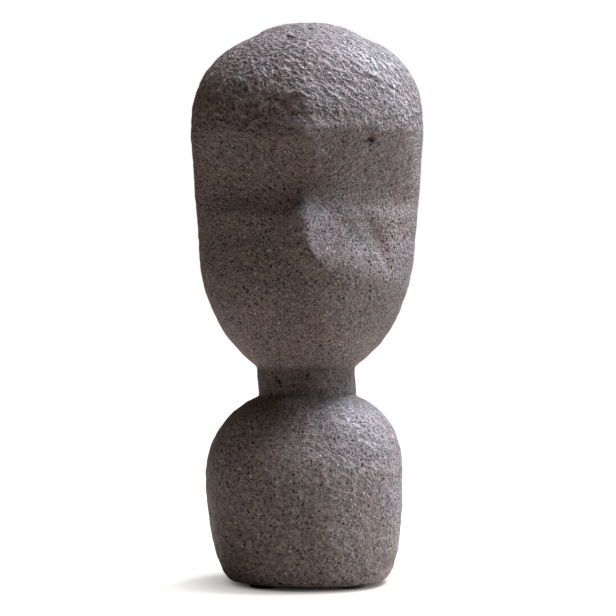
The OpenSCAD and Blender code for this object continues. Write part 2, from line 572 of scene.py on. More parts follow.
class Mottle(GroupMaker):
    """Two colours in soft clouds, with finer clouds inside them."""

    name = "mottle"
    inputs = (
        ("Vector", "NodeSocketVector", None),
        ("Cloud Size", "NodeSocketFloat", 0.03),
        ("First", "NodeSocketColor", (0.5, 0.5, 0.5, 1.0)),
        ("Second", "NodeSocketColor", (0.4, 0.4, 0.4, 1.0)),
    )
    outputs = (("Color", "NodeSocketColor"), ("Mask", "NodeSocketFloat"))
    spread = (0.34, 0.66)

    def build(self, graph: Graph, source: Any) -> dict[str, Socket]:
        """Noise of the cloud size, with its middle spread out, picks between the colours.

        Args:
            graph: The group's graph.
            source: The group's inputs.

        Returns:
            The mixed colour, and how much of the second colour is in it.
        """
        scale = graph.math("DIVIDE", 1.0, source["Cloud Size"])
        cloud, _ = graph.noise(source["Vector"], scale, 4.0, 0.6)
        mask = graph.span(cloud, *self.spread)
        return {"Color": graph.blend(mask, source["First"], source["Second"]), "Mask": mask}


class Grains(GroupMaker):
    """Fine mineral grains or fibres: pale and dark specks and the grit between them."""

    name = "grains"
    inputs = (
        ("Vector", "NodeSocketVector", None),
        ("Grain Size", "NodeSocketFloat", 0.001),
        ("Share", "NodeSocketFloat", 0.2),
    )
    outputs = (
        ("Pale", "NodeSocketFloat"),
        ("Dark", "NodeSocketFloat"),
        ("Grit", "NodeSocketFloat"),
    )
    edge = (0.75, 0.35)
    grit_scale = 0.6

    def build(self, graph: Graph, source: Any) -> dict[str, Socket]:
        """Cells of the grain size; each cell's random numbers make it pale, dark or neither.

        Args:
            graph: The group's graph.
            source: The group's inputs.

        Returns:
            Masks of the pale and the dark grains, and the noise between them.
        """
        scale = graph.math("DIVIDE", 1.0, source["Grain Size"])
        distance, colour = graph.cells(source["Vector"], scale)
        pick = graph.parts(colour)
        body = graph.span(distance, *self.edge)
        grit, _ = graph.noise(source["Vector"], graph.times(scale, self.grit_scale), 3.0, 0.7)
        return {
            "Pale": graph.times(body, graph.math("LESS_THAN", pick[0], source["Share"])),
            "Dark": graph.times(body, graph.math("LESS_THAN", pick[1], source["Share"])),
            "Grit": grit,
        }


class Pores(GroupMaker):
    """Round to ragged gas pores of mixed sizes, with none in some of the cells."""

    name = "pores"
    inputs = (
        ("Vector", "NodeSocketVector", None),
        ("Spacing", "NodeSocketFloat", 0.005),
        ("Radius", "NodeSocketFloat", 0.0008),
        ("Share", "NodeSocketFloat", 0.7),
    )
    outputs = (("Mask", "NodeSocketFloat"),)
    shake = 1.5
    smallest = 0.35
    full_at = 0.6

    def build(self, graph: Graph, source: Any) -> dict[str, Socket]:
        """A pore at each cell's centre, its radius a random share of the largest.

        The place is first shifted by fine noise, which makes the rims uneven.

        Args:
            graph: The group's graph.
            source: The group's inputs.

        Returns:
            The pores' mask, full from a share of each radius inwards.
        """
        radius, spacing = source["Radius"], source["Spacing"]
        _, ragged = graph.noise(source["Vector"], graph.math("DIVIDE", 0.9, radius), 1.0)
        shift = graph.vector_math("SUBTRACT", ragged, (0.5, 0.5, 0.5))
        shift = graph.scale(shift, graph.times(radius, self.shake))
        place = graph.vector_math("ADD", source["Vector"], shift)
        distance, colour = graph.cells(place, graph.math("DIVIDE", 1.0, spacing))
        pick = graph.parts(colour)
        largest = graph.math("DIVIDE", radius, spacing)
        size = graph.times(largest, graph.span(pick[0], 0.0, 1.0, self.smallest, 1.0))
        bore = graph.span(distance, size, graph.times(size, self.full_at))
        return {"Mask": graph.times(bore, graph.math("LESS_THAN", pick[1], source["Share"]))}


# --------------------------------------------------------------------------------------------
# Finishes
# --------------------------------------------------------------------------------------------


@dataclass(frozen=True)
class Tint:
    """A linear colour, and how much it covers of what is under it where its mask is full."""

    tone: tuple[float, float, float]
    share: float


@dataclass(frozen=True)
class Pit:
    """A flaw in the front of the block that is larger than a pore: its place, size and slant."""

    x: float
    z: float
    half_width: float
    half_height: float
    depth: float
    slant: float = 0.0


@dataclass(frozen=True)
class StoneFinish:
    """Vesicular volcanic stone, cut with a point and rubbed down.

    Colours are linear. The heights are those of the fine relief that the mesh doesn't hold.
    """

    warm: tuple[float, float, float] = (0.250, 0.212, 0.200)
    cool: tuple[float, float, float] = (0.212, 0.208, 0.205)
    cloud: float = 34 * MM
    stain: Tint = Tint((0.185, 0.160, 0.142), 0.4)
    stain_cloud: float = 60 * MM
    rust: Tint = Tint((0.270, 0.178, 0.150), 0.38)
    rust_cloud: float = 26 * MM
    grey_levels: tuple[float, float] = (175 * MM, 120 * MM)
    grey_share: float = 0.75
    # Painted highlight: a pale bluish tint where the nose's tip catches the light.
    painted_highlight: Tint = Tint((0.36, 0.37, 0.42), 0.8)
    # Painted shade in the deeper cuts of the mesh.
    dust_and_hollow_shade: Tint = Tint((0.185, 0.160, 0.142), 0.45)
    # Painted shade round the neck, where the chin's overhang shades it.
    painted_neck_shade: Tint = Tint((0.045, 0.036, 0.032), 1.0)
    # Painted shade in the hollows and painted highlight on the peaks of the fine relief.
    proud_span: tuple[float, float] = (0.3, 0.7)
    relief_shade_and_highlight: tuple[float, float] = (0.34, 1.66)

    grain: float = 1.0 * MM
    grain_share: float = 0.16
    pale_grain: Tint = Tint((0.50, 0.48, 0.47), 0.55)
    dark_grain: Tint = Tint((0.055, 0.048, 0.046), 0.6)
    speck: float = 1.5 * MM
    speck_share: float = 0.012
    pale_speck: Tint = Tint((0.72, 0.68, 0.62), 0.8)
    # Painted shade inside the pores and the pits' mouths.
    pore_shade: Tint = Tint((0.014, 0.011, 0.010), 0.92)
    pore_sizes: tuple[tuple[float, float, float], ...] = (
        (3.1 * MM, 1.2 * MM, 0.8),
        (1.7 * MM, 0.64 * MM, 0.7),
    )
    hole_marks: tuple[Pit, ...] = ()
    mouth_full_at: float = 0.55

    peck: float = 3.3 * MM
    peck_slant: float = -35.0
    peck_stretch: float = 1.7
    peck_shake: float = 0.7
    peck_shake_rate: float = 1.2
    peck_level: float = 0.25
    peck_depth: float = 3.2 * MM
    peck_proud: float = 0.6
    stroke_length: float = 6 * MM
    stroke_width: float = 1.5 * MM
    stroke_depth: float = 2.2 * MM
    stroke_slant: float = 32.0
    stroke_proud: float = 0.5
    grit_depth: float = 2.3 * MM
    pore_depth: float = 1.2 * MM

    roughness: float = 0.36
    grit_roughness: float = 0.22
    polish_gloss: float = 0.08
    specular: float = 0.5

    def material(self) -> bpy.types.Material:
        """Builds the stone.

        Returns:
            A material whose colour is clouds of warm and cool stone with stains and rust, greyer
            towards the foot, a painted highlight on the nose's tip, painted shade in the hollows and
            a painted highlight on the peaks of the fine relief, then grains and specks, painted shade
            in the deeper cuts and round the neck, and painted shade in the pores. Its bump adds
            pecks, tool strokes, grit and pores.
        """
        graph = MaterialGraph("carved volcanic stone")
        place = graph.place
        clouds = Mottle().place(graph, Vector=place, Cloud_Size=self.cloud,
                                First=(*self.warm, 1.0), Second=(*self.cool, 1.0))
        stains = Mottle().place(graph, Vector=place, Cloud_Size=self.stain_cloud)["Mask"]
        rusts = Mottle().place(graph, Vector=place, Cloud_Size=self.rust_cloud)["Mask"]
        grains = Grains().place(graph, Vector=place, Grain_Size=self.grain, Share=self.grain_share)
        specks = Grains().place(graph, Vector=place, Grain_Size=self.speck, Share=self.speck_share)
        holes = 0.0
        for spacing, radius, share in self.pore_sizes:
            pores = Pores().place(graph, Vector=place, Spacing=spacing, Radius=radius, Share=share)
            holes = graph.math("MAXIMUM", holes, pores["Mask"])
        for mark in self.hole_marks:
            holes = graph.math("MAXIMUM", holes, self.hole(graph, mark))
        height, proud = self.fine_relief(graph, grains["Grit"], holes)
        # Polish lowers the roughness here; the same mask paints a pale highlight on the nose's tip.
        polish_and_highlight = graph.attribute("polish_and_highlight")

        colour = graph.tint(clouds["Color"], stains, self.stain)
        greyer = graph.span(graph.parts(place)["Z"], *self.grey_levels, 0.0, self.grey_share)
        colour = graph.blend(greyer, colour, (*self.cool, 1.0))
        colour = graph.tint(colour, graph.times(rusts, rusts), self.rust)
        # painted highlight on the nose's tip
        colour = graph.tint(colour, polish_and_highlight, self.painted_highlight)
        # painted shade in the fine relief's hollows, painted highlight on its peaks
        colour = graph.scale(colour, graph.span(proud, *self.proud_span, *self.relief_shade_and_highlight))
        for mask, tint in (
            (grains["Pale"], self.pale_grain),
            (grains["Dark"], self.dark_grain),
            (specks["Pale"], self.pale_speck),
            # painted shade in the deeper cuts
            (graph.attribute("hollow"), self.dust_and_hollow_shade),
            # painted shade round the neck, under the chin
            (graph.attribute("neck_shade_share"), self.painted_neck_shade),
            # painted shade inside the pores and the pits' mouths
            (holes, self.pore_shade),
        ):
            colour = graph.tint(colour, mask, tint)
        rough = graph.plus(
            graph.times(grains["Grit"], self.grit_roughness),
            graph.times(polish_and_highlight, -self.polish_gloss),
            self.roughness - self.grit_roughness / 2.0,
        )
        return graph.surface(
            height, Base_Color=colour, Roughness=rough, Specular_IOR_Level=self.specular
        )

    def hole(self, graph: MaterialGraph, mark: Pit) -> Socket:
        """Where shade is painted in the mouth of a pit in the front, whose edge is finer than the
        mesh.

        Args:
            graph: The stone's graph.
            mark: The pit's mouth.

        Returns:
            Its mask: where sqrt((x / a)^2 + (z / b)^2) < 1 for the mouth's half width a and
            half height b, and in front of the block's middle.
        """
        x, y, z = graph.parts(graph.place)
        dx = graph.math("DIVIDE", graph.math("SUBTRACT", x, mark.x), mark.half_width)
        dz = graph.math("DIVIDE", graph.math("SUBTRACT", z, mark.z), mark.half_height)
        away = graph.math("SQRT", graph.plus(graph.times(dx, dx), graph.times(dz, dz)))
        return graph.times(graph.span(away, 1.0, self.mouth_full_at), graph.math("LESS_THAN", y, 0.0))

    def fine_relief(
        self, graph: MaterialGraph, grit: Socket, holes: Socket
    ) -> tuple[Socket, Socket]:
        """Adds up the relief that is finer than the mesh.

        Args:
            graph: The stone's graph.
            grit: Fine noise between the grains.
            holes: The pores' mask.

        Returns:
            The height in metres: pecks as bowls round cell centres, strokes of noise drawn out
            along the tool's way, grit, less the pores. And how proud the surface is: near 0 in
            a hollow, 0.5 on the whole and near 1 on a peak.
        """
        pecked, stroked = graph.attribute("pecked"), graph.attribute("stroked")
        bowls, _ = graph.cells(self.drawn_out(graph), 1.0 / self.peck)
        ridge = graph.times(bowls, bowls)
        stroke = self.strokes(graph)
        height = graph.plus(
            graph.times(ridge, self.peck_depth, pecked),
            graph.times(stroke, self.stroke_depth, stroked),
            graph.times(grit, self.grit_depth),
            graph.times(holes, -self.pore_depth),
        )
        share = graph.times(stroked, self.stroke_proud)
        rim = graph.math("SUBTRACT", ridge, self.peck_level)
        proud = graph.plus(
            graph.times(grit, graph.math("SUBTRACT", 1.0, share)),
            graph.times(stroke, share),
            graph.times(rim, graph.times(pecked, self.peck_proud)),
        )
        return height, proud

    def drawn_out(self, graph: MaterialGraph) -> Socket:
        """The place with its share along the pecks' way shortened, and shaken by noise.

        Args:
            graph: The stone's graph.

        Returns:
            Where the pecks' cells are read, so that they are longer along their way.
        """
        place = graph.place
        slant = math.radians(self.peck_slant)
        way = (math.cos(slant), 0.0, math.sin(slant))
        along = graph.vector_math("DOT_PRODUCT", place, way, output="Value")
        back = graph.scale(way, graph.times(along, 1.0 / self.peck_stretch - 1.0))
        _, shake = graph.noise(place, self.peck_shake_rate / self.peck, 1.0)
        shake = graph.vector_math("SUBTRACT", shake, (0.5, 0.5, 0.5))
        nudge = graph.scale(shake, self.peck_shake * self.peck)
        return graph.vector_math("ADD", graph.vector_math("ADD", place, back), nudge)

    def strokes(self, graph: MaterialGraph) -> Socket:
        """Noise drawn out along the strokes, which rise outwards on both sides of the middle.

        Args:
            graph: The stone's graph.

        Returns:
            The noise, about 0.5.
        """
        x, y, z = graph.parts(graph.place)
        slant = math.radians(self.stroke_slant)
        side = graph.math("ABSOLUTE", x)
        along = graph.plus(graph.times(side, math.cos(slant)), graph.times(z, math.sin(slant)))
        across = graph.plus(graph.times(z, math.cos(slant)), graph.times(side, -math.sin(slant)))
        joined = graph.feed(graph.node("ShaderNodeCombineXYZ"), {
            0: graph.times(along, 1.0 / self.stroke_length),
            1: graph.times(across, 1.0 / self.stroke_width),
            2: graph.times(y, 1.0 / self.stroke_length),
        })
        return graph.noise(joined.outputs[0], 1.0, 2.0, 0.6)[0]


@dataclass(frozen=True)
class FeltFinish:
    """Dense pressed wool felt, dyed charcoal."""

    dark: tuple[float, float, float] = (0.018, 0.018, 0.020)
    light: tuple[float, float, float] = (0.040, 0.039, 0.041)
    cloud: float = 2.5 * MM
    lint: Tint = Tint((0.16, 0.15, 0.15), 0.4)
    fibre: float = 0.35 * MM
    fibre_share: float = 0.1
    fibre_depth: float = 0.25 * MM
    roughness: float = 0.95
    sheen: float = 0.35
    sheen_roughness: float = 0.6

    def material(self) -> bpy.types.Material:
        """Builds the felt.

        Returns:
            A material with clouded charcoal, pale lint and a soft fibrous bump.
        """
        graph = MaterialGraph("charcoal felt")
        clouds = Mottle().place(graph, Vector=graph.place, Cloud_Size=self.cloud,
                                First=(*self.dark, 1.0), Second=(*self.light, 1.0))
        fibres = Grains().place(
            graph, Vector=graph.place, Grain_Size=self.fibre, Share=self.fibre_share
        )
        return graph.surface(
            graph.times(fibres["Grit"], self.fibre_depth),
            Base_Color=graph.tint(clouds["Color"], fibres["Pale"], self.lint),
            Roughness=self.roughness,
            Sheen_Weight=self.sheen,
            Sheen_Roughness=self.sheen_roughness,
        )


@dataclass(frozen=True)
class AdhesiveFinish:
    """Clear, slightly yellow pressure-sensitive film with specks of stone dust in it."""

    clear: tuple[float, float, float] = (0.56, 0.51, 0.40)
    cloudy: tuple[float, float, float] = (0.48, 0.43, 0.33)
    cloud: float = 4 * MM
    dust_and_hollow_shade: Tint = Tint((0.20, 0.17, 0.15), 0.7)
    speck: float = 0.5 * MM
    speck_share: float = 0.12
    grit_depth: float = 0.03 * MM
    roughness: tuple[float, float] = (0.22, 0.42)

    def material(self) -> bpy.types.Material:
        """Builds the film.

        Returns:
            A glossy material with faint clouds and dust.
        """
        graph = MaterialGraph("adhesive film")
        clouds = Mottle().place(graph, Vector=graph.place, Cloud_Size=self.cloud,
                                First=(*self.clear, 1.0), Second=(*self.cloudy, 1.0))
        specks = Grains().place(
            graph, Vector=graph.place, Grain_Size=self.speck, Share=self.speck_share
        )
        return graph.surface(
            graph.times(specks["Grit"], self.grit_depth),
            Base_Color=graph.tint(clouds["Color"], specks["Dark"], self.dust_and_hollow_shade),
            Roughness=graph.span(specks["Grit"], 0.3, 0.7, *self.roughness),
        )


# --------------------------------------------------------------------------------------------
# The stone
# --------------------------------------------------------------------------------------------


@dataclass(frozen=True)
class ToolMarks:
    """What the mason's tools, hands and age left on the block, and where shade and a highlight are
    painted on it.

    A pair named edge, low or high is up or down from a level, and a mark comes or goes between
    its two places. A pair named wander is how far such an edge strays and over what distance. A
    pair named patch is a mean and how far noise moves it.
    """

    wave: float = 1.2 * MM
    wave_size: float = 46 * MM
    lump: float = 0.8 * MM
    lump_size: float = 9 * MM
    grit: float = 0.35 * MM
    grit_size: float = 3.2 * MM
    peck: float = 1.1 * MM
    peck_sizes: tuple[float, float] = (4.2 * MM, 2.7 * MM)
    peck_shares: tuple[float, float] = (0.65, 0.35)
    peck_slant: float = -35.0
    peck_stretch: float = 1.8
    face_pecks: float = 0.14
    dome_pecks: float = 0.86
    crown_loss: float = 0.45
    bust_pecks: float = 0.3
    dome_edge: tuple[float, float] = (-3 * MM, 5 * MM)
    crown_edge: tuple[float, float] = (-28 * MM, -10 * MM)
    edge_wander: tuple[float, float] = (4 * MM, 14 * MM)
    peck_patch: tuple[float, float] = (0.75, 0.35)
    peck_patch_size: float = 38 * MM
    pole_pecks: tuple[float, float] = (0.2, 0.5)

    faint_strokes: float = 0.25
    stroke_low: tuple[float, float] = (-12 * MM, 4 * MM)
    stroke_high: tuple[float, float] = (-6 * MM, 6 * MM)

    # Where the nose's tip is polished and a highlight is painted on it.
    shine_at: tuple[float, float] = (9 * MM, 257 * MM)
    shine_reach: tuple[float, float] = (9 * MM, 12 * MM)
    shine_patch: tuple[float, float] = (0.75, 0.5)
    shine_patch_size: float = 5 * MM

    # Where shade is painted round the neck, under the chin.
    painted_neck_shade: float = 0.42
    painted_neck_shade_low: tuple[float, float] = (-2 * MM, 2 * MM)
    painted_neck_shade_high: tuple[float, float] = (-1 * MM, 2 * MM)
    painted_neck_shade_wander: tuple[float, float] = (1.5 * MM, 12 * MM)
    painted_neck_shade_patch: float = 0.4
    painted_neck_shade_patch_size: float = 15 * MM
    # Depth of cut at which the painted shade in the hollows is full.
    hollow_shade_depth: float = 1.4 * MM


@dataclass(frozen=True)
class Fold:
    """The fold that runs down from the nose over the right cheek, from start to end in x and z.

    Widths are at the top and the bottom, and the spans are shares of the way down.
    """

    start: tuple[float, float] = (37 * MM, 266 * MM)
    end: tuple[float, float] = (58 * MM, 226 * MM)
    width: tuple[float, float] = (5 * MM, 3.2 * MM)
    depth: float = 1.5 * MM
    lip: float = 0.9 * MM
    wander: tuple[float, float] = (1.5 * MM, 9 * MM)
    narrows: tuple[float, float] = (0.3, 0.9)
    comes: tuple[float, float] = (-0.2, 0.25)
    goes: tuple[float, float] = (0.8, 1.2)


@dataclass
class CarvedStone:
    """The block: head, neck and bust in one skin.

    Bust levels count up from the foot, and head levels from the chin, except the crown's.
    """

    bust_width: float = 143 * MM
    bust_depth: float = 122 * MM
    bust_height: float = 131 * MM
    bust_level: float = 72 * MM
    shoulder_power: float = 2.4
    base_width: float = 110 * MM
    base_depth: float = 94 * MM
    bust_shift: float = -2.5 * MM
    neck_width: float = 72 * MM
    neck_depth: float = 52 * MM
    neck_height: float = 20 * MM
    crease_radius: float = 2 * MM
    head_width: float = 169 * MM
    head_depth: float = 145 * MM
    jaw_width: float = 157 * MM
    jaw_depth: float = 134 * MM
    jaw_level: float = 91 * MM
    jaw_power: float = 2.0
    chin_shift: float = -1 * MM
    brow_level: float = 167 * MM
    skull_power: float = 2.45
    crown_rise: float = 6 * MM
    crown_width: float = 90 * MM
    crown_depth: float = 78 * MM
    crown_height: float = 21 * MM
    crown_shift: float = 0.5 * MM
    crease_level: float = 124 * MM
    crease_fall: float = 0.05
    brow_cut_depth: float = 12 * MM
    cheek_cut_depth: float = 6 * MM
    cheek_level: float = 42 * MM
    keel_out: float = 2.5 * MM
    keel_reach: float = 20 * MM
    nose_out: float = 9 * MM
    nose_tip_level: float = 105 * MM
    nose_foot_level: float = 80 * MM
    nose_end_level: float = 52 * MM
    nose_left: float = 22 * MM
    nose_right: float = 50 * MM
    ridge_shift: float = -3 * MM
    ridge_run: float = 40 * MM
    ridge_bend: float = 2.5
    ridge_rough: float = 2.2 * MM
    ridge_rough_size: float = 8 * MM
    brow_dip: float = 8 * MM
    dip_shift: float = -18 * MM
    dip_reach: float = 38 * MM
    brow_chips: float = 2.6 * MM
    chip_size: float = 9 * MM
    valley_soft: float = 3 * MM
    crest_soft: float = 1.5 * MM
    nose_top_share: float = 0.25
    bust_power: float = 2.3
    neck_power: float = 2.3
    face_power: float = 1.8
    nape_power: float = 2.25
    face_edge: tuple[float, float] = (0.05, 0.6)
    front_depth: float = 10 * MM

    columns: int = 304
    skin_rings: int = 312
    foot_rings: int = 10
    front_crowding: float = 0.25

    pits: tuple[Pit, ...] = (
        Pit(43.7 * MM, 311 * MM, 2.4 * MM, 1.6 * MM, 3.2 * MM, 0.5),
        Pit(-13 * MM, 384 * MM, 4.0 * MM, 1.6 * MM, 2.4 * MM, -0.1),
        Pit(1.5 * MM, 390.5 * MM, 2.6 * MM, 1.4 * MM, 1.8 * MM, 0.0),
        Pit(-20 * MM, 144 * MM, 1.8 * MM, 2.0 * MM, 2.0 * MM, 0.0),
        Pit(0.0, 148.5 * MM, 1.8 * MM, 1.6 * MM, 1.8 * MM, 0.0),
        Pit(57 * MM, 15 * MM, 5.0 * MM, 3.5 * MM, 2.2 * MM, 0.4),
        Pit(38 * MM, 11 * MM, 4.0 * MM, 2.4 * MM, 1.6 * MM, 0.0),
        Pit(-8 * MM, 330 * MM, 9.0 * MM, 8.0 * MM, 0.8 * MM, 0.3),
        Pit(8 * MM, 352 * MM, 8.0 * MM, 4.0 * MM, 1.3 * MM, 0.4),
    )

    hole_share: float = 0.7
    hole_height: float = 2.5 * MM
    marks: ToolMarks = ToolMarks()
    fold: Fold = Fold()

    noise: Lattice = field(default_factory=lambda: Lattice(41))

    def __post_init__(self) -> None:
        """Works out the levels from the frame's box of the block and the heights above it."""
        low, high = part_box("carved_stone")
        self.foot_z = low[2]
        self.crown_z = high[2]
        self.axis_y = self.keel_out / 2.0
        self.bust_z = self.foot_z + self.bust_level
        self.shoulder_z = self.foot_z + self.bust_height
        self.chin_z = self.shoulder_z + self.neck_height
        self.jaw_z = self.chin_z + self.jaw_level
        self.crease_z = self.chin_z + self.crease_level
        self.brow_z = self.chin_z + self.brow_level
        self.skull_z = self.crown_z - self.crown_rise
        self.nose_tip_z = self.chin_z + self.nose_tip_level
        self.nose_foot_z = self.chin_z + self.nose_foot_level
        self.nose_end_z = self.chin_z + self.nose_end_level
        self.cheek_z = self.chin_z + self.cheek_level
        neck_on_bust = arc(np.array(self.neck_width / self.bust_width), self.shoulder_power)
        neck_on_jaw = arc(np.array(self.neck_width / self.jaw_width), self.jaw_power)
        self.shoulder_pole_z = self.bust_z + (self.bust_height - self.bust_level) / neck_on_bust
        self.jaw_pole_z = self.jaw_z - self.jaw_level / neck_on_jaw

    def bust_radius(self, turn: Array, z: Array) -> Array:
        """Radius of the bust.

        Args:
            turn: Directions.
            z: Levels.

        Returns:
            A section that swells from the foot by a quarter ellipse, and above the widest
            level shrinks by a superellipse shoulder.
        """
        rise = np.sqrt(np.maximum(0.0, 1.0 - (1.0 - ramp(self.foot_z, self.bust_z, z)) ** 2))
        fall = arc(ramp(self.bust_z, self.shoulder_pole_z, z), self.shoulder_power)
        halves = []
        for full, base in ((self.bust_width, self.base_width), (self.bust_depth, self.base_depth)):
            halves.append(np.where(z <= self.bust_z, mix(base, full, rise), full * fall) / 2.0)
        radius = section(halves[0], halves[1], self.bust_power, turn)
        return np.where(z >= self.shoulder_pole_z, 0.0, radius)

    def neck_radius(self, turn: Array, z: Array) -> Array:
        """Radius of the neck.

        Args:
            turn: Directions.
            z: Levels.

        Returns:
            The same section at every level, and 0 below the bust's widest and above the jaw.
        """
        half_width = np.full_like(z, self.neck_width / 2.0)
        half_depth = np.full_like(z, self.neck_depth / 2.0)
        radius = section(half_width, half_depth, self.neck_power, turn)
        return np.where((z < self.bust_z) | (z > self.jaw_z), 0.0, radius)

    def head_radius(self, turn: Array, z: Array) -> Array:
        """Radius of the head.

        Args:
            turn: Directions.
            z: Levels.

        Returns:
            A superellipse jaw, straight temples, a superellipse dome and, joined to it by a
            fillet, the elliptic cap of the crown.
        """
        halves = []
        for jaw, brow in ((self.jaw_width, self.head_width), (self.jaw_depth, self.head_depth)):
            below = jaw * arc(ramp(self.jaw_z, self.jaw_pole_z, z), self.jaw_power)
            beside = mix(jaw, brow, ramp(self.jaw_z, self.brow_z, z))
            above = brow * arc(ramp(self.brow_z, self.skull_z, z), self.skull_power)
            upper = np.where(z < self.brow_z, beside, above)
            halves.append(np.where(z < self.jaw_z, below, upper) / 2.0)
        power = np.where(np.sin(turn) < 0, self.face_power, self.nape_power)
        skull = section(halves[0], halves[1], power, turn)
        curve = arc(ramp(self.crown_z - self.crown_height, self.crown_z, z), 2.0)
        cap = section(self.crown_width / 2.0 * curve, self.crown_depth / 2.0 * curve, 2.0, turn)
        cap = np.where(z < self.crown_z - self.crown_height, 0.0, cap)
        radius = fillet(skull, cap, 2.0 * self.crease_radius)
        return np.where(z <= self.jaw_pole_z, 0.0, radius)

    def ridge_x(self, z: Array) -> Array:
        """Place of the ridge along X: straight up the keel, bending to the right under the tip."""
        down = ramp(self.nose_tip_z, self.nose_end_z, z)
        return self.ridge_shift + self.ridge_run * down**self.ridge_bend

    def tent(self, off: Array, reach: Array | float) -> Array:
        """Height of a tent over the distance off its ridge, with the crest rubbed round.

        Args:
            off: Distance from the ridge.
            reach: Distance at which the tent ends.

        Returns:
            1 - sqrt(off^2 + s^2) / reach, where s is the crest's softness, and 0 beyond it.
        """
        return np.maximum(0.0, 1.0 - np.sqrt(off**2 + self.crest_soft**2) / reach)

    def face_relief(self, turn: Array, x: Array, z: Array) -> Array:
        """How far the face stands out of the plain head, or is cut back if below 0.

        Args:
            turn: Directions.
            x: Place across the face.
            z: Level.

        Returns:
            The keel, which is a tent along the forehead, and the nose, which is a tent that is
            steep on its left and wide on its right, both along a broken ridge, less the cut under
            the brow, whose edge is chipped and dips in the middle. The cut is
            (a + b - sqrt((a - b)^2 + s^2)) / 2, the rounded meeting of the slope a that falls
            from the brow and the slope b that rises to the cheek.
        """
        crease_z = self.crease_z - self.crease_fall * x
        chips = self.noise.rough(np.stack([x, 0.0 * x, 0.0 * x], axis=1), self.chip_size, 3)
        middle = np.maximum(0.0, 1.0 - ((x - self.dip_shift) / self.dip_reach) ** 2)
        brow_z = self.brow_z + self.brow_chips * chips - self.brow_dip * middle
        under = self.brow_cut_depth * np.maximum(0.0, brow_z - z) / (brow_z - crease_z)
        below = mix(self.brow_cut_depth, self.cheek_cut_depth, ease(crease_z, self.nose_tip_z, z))
        below = mix(below, 0.0, ease(self.nose_tip_z, self.cheek_z, z))
        apart = np.sqrt((under - below) ** 2 + self.valley_soft**2)
        cut = np.maximum(0.0, (under + below - apart) / 2.0) * ease(self.chin_z, self.cheek_z, z)

        up = np.stack([0.0 * z, 0.0 * z, z], axis=1)
        broken = self.noise.rough(up, self.ridge_rough_size, 3)
        off = x - self.ridge_x(z) - self.ridge_rough * broken
        keel = self.keel_out * ease(crease_z, brow_z, z)
        keel = keel * (1.0 - ease(self.brow_z, self.skull_z, z))
        keel = keel * self.tent(off, self.keel_reach)

        ridge = np.where(
            z > self.nose_tip_z,
            ramp(crease_z, self.nose_tip_z, z),
            ease(self.nose_end_z, self.nose_foot_z, z),
        )
        spread = ramp(crease_z, self.nose_foot_z, z)
        right = mix(self.nose_left * self.nose_top_share, self.nose_right, spread)
        nose = self.nose_out * ridge * self.tent(off, np.where(off < 0, self.nose_left, right))
        return (keel + nose - cut) * ease(self.face_edge[0], self.face_edge[1], -np.sin(turn))

    def sway(self, z: Array) -> Array:
        """How far a section's centre stands off the middle, along X.

        Args:
            z: Levels.

        Returns:
            The bust's shift, the chin's and the crown's, each eased in and out between levels.
        """
        bust = self.bust_shift * ease(self.foot_z, self.bust_z, z)
        bust = bust * (1.0 - ease(self.bust_z, self.shoulder_z, z))
        chin = self.chin_shift * ease(self.shoulder_z, self.chin_z, z)
        chin = chin * (1.0 - ease(self.chin_z, self.brow_z, z))
        return bust + chin + self.crown_shift * ease(self.brow_z, self.crown_z, z)

    def skin(self, turn: Array, z: Array) -> Array:
        """Points of the skin in the directions turn at the levels z.

        Args:
            turn: Directions, in radians.
            z: Levels.

        Returns:
            Points, shape (n, 3).
        """
        plain = fillet(self.bust_radius(turn, z), self.neck_radius(turn, z), self.crease_radius)
        plain = fillet(plain, self.head_radius(turn, z), self.crease_radius)
        radius = plain + self.face_relief(turn, plain * np.cos(turn), z)
        return np.stack(
            [radius * np.cos(turn) + self.sway(z), radius * np.sin(turn) + self.axis_y, z], axis=1
        )

    def turns(self) -> Array:
        """Directions of the columns, closer together on the face than on the back.

        Returns:
            From -90 degrees, the face, half a turn each way by (1 - c) t + c t^3.
        """
        t = 2.0 * np.arange(self.columns) / self.columns - 1.0
        shift = (1.0 - self.front_crowding) * t + self.front_crowding * t**3
        return -math.pi / 2.0 + math.pi * shift

    def follow_ridge(self, turn: Array, z: Array) -> Array:
        """Turns the front columns so that the middle one runs along the ridge.

        Args:
            turn: Directions of the columns.
            z: Levels.

        Returns:
            The directions, each moved by the ridge's own angle times how squarely the column
            faces forward. Below the nose the columns turn back.
        """
        angle = np.arctan(self.ridge_x(z) / (self.head_depth / 2.0))
        angle = angle * ease(self.chin_z, self.nose_end_z, z)
        return turn + angle * np.maximum(0.0, -np.sin(turn))

    def levels(self) -> Array:
        """Levels of the rings, equally spaced along the skin.

        Returns:
            The way up is measured on the side, the face and the back at once, by the largest of
            the three steps, and cut into equal lengths. The rings nearest to the crease, the
            brow's edge and both ends of the neck are moved onto them.
        """
        quarter = np.linspace(0, math.pi / 2, 4000)
        fine = np.concatenate([
            self.foot_z + (self.jaw_z - self.foot_z) * (1 - np.cos(quarter)),
            np.linspace(self.jaw_z, self.brow_z, 1500)[1:],
            self.brow_z + (self.crown_z - self.brow_z) * np.sin(quarter)[1:],
        ])
        steps = []
        for turn in (0.0, -math.pi / 2.0, math.pi / 2.0):
            path = self.skin(np.full_like(fine, turn), fine)
            steps.append(np.linalg.norm(np.diff(path, axis=0), axis=1))
        way = np.concatenate([[0.0], np.cumsum(np.max(steps, axis=0))])
        even = np.linspace(0.0, way[-1], self.skin_rings + 1)[:-1]
        z = np.interp(even, way, fine)
        for level in (self.crease_z, self.brow_z, self.shoulder_z, self.chin_z):
            z[np.argmin(np.abs(z - level))] = level
        return z

